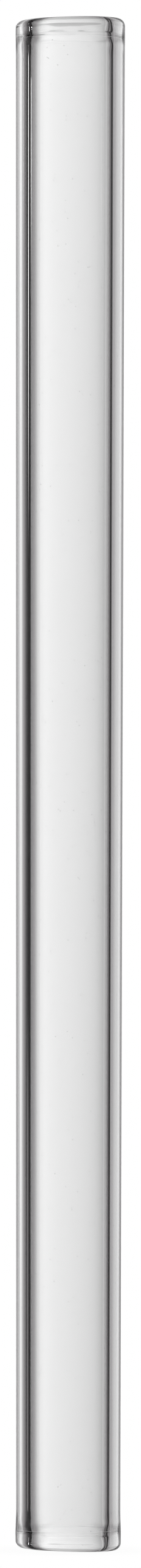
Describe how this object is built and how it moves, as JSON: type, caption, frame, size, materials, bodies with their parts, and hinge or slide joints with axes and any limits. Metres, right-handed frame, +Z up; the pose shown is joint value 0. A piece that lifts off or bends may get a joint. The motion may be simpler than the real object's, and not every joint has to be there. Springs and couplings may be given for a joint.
{
  "type": "liebig condenser",
  "caption": "Straight jacketed condenser body in clear glass: a water-filled jacket tube round an inner vapour tube, closed at both ends by rounded ring seals.",
  "frame": {"origin": "centre of the lower rim's flat land, on the glass's axis", "axes": "+Z up along the axis of both tubes, from the narrower lower rim to the wider upper rim; X and Y are any two directions across it, because the piece is round"},
  "size_m": [0.0288, 0.0288, 0.4],
  "materials": {
    "jacket_glass": "clear drawn tube, polished",
    "inner_tube_glass": "clear drawn tube, polished",
    "upper_seal_glass": "flame-worked, fire-polished",
    "lower_seal_glass": "flame-worked, fire-polished",
    "cooling_water": "clear still water"
  },
  "bodies": {
    "root": {"jacket_tube": "jacket_glass", "inner_tube": "inner_tube_glass", "upper_ring_seal": "upper_seal_glass", "lower_ring_seal": "lower_seal_glass", "cooling_water": "cooling_water"}
  },
  "joints": []
}
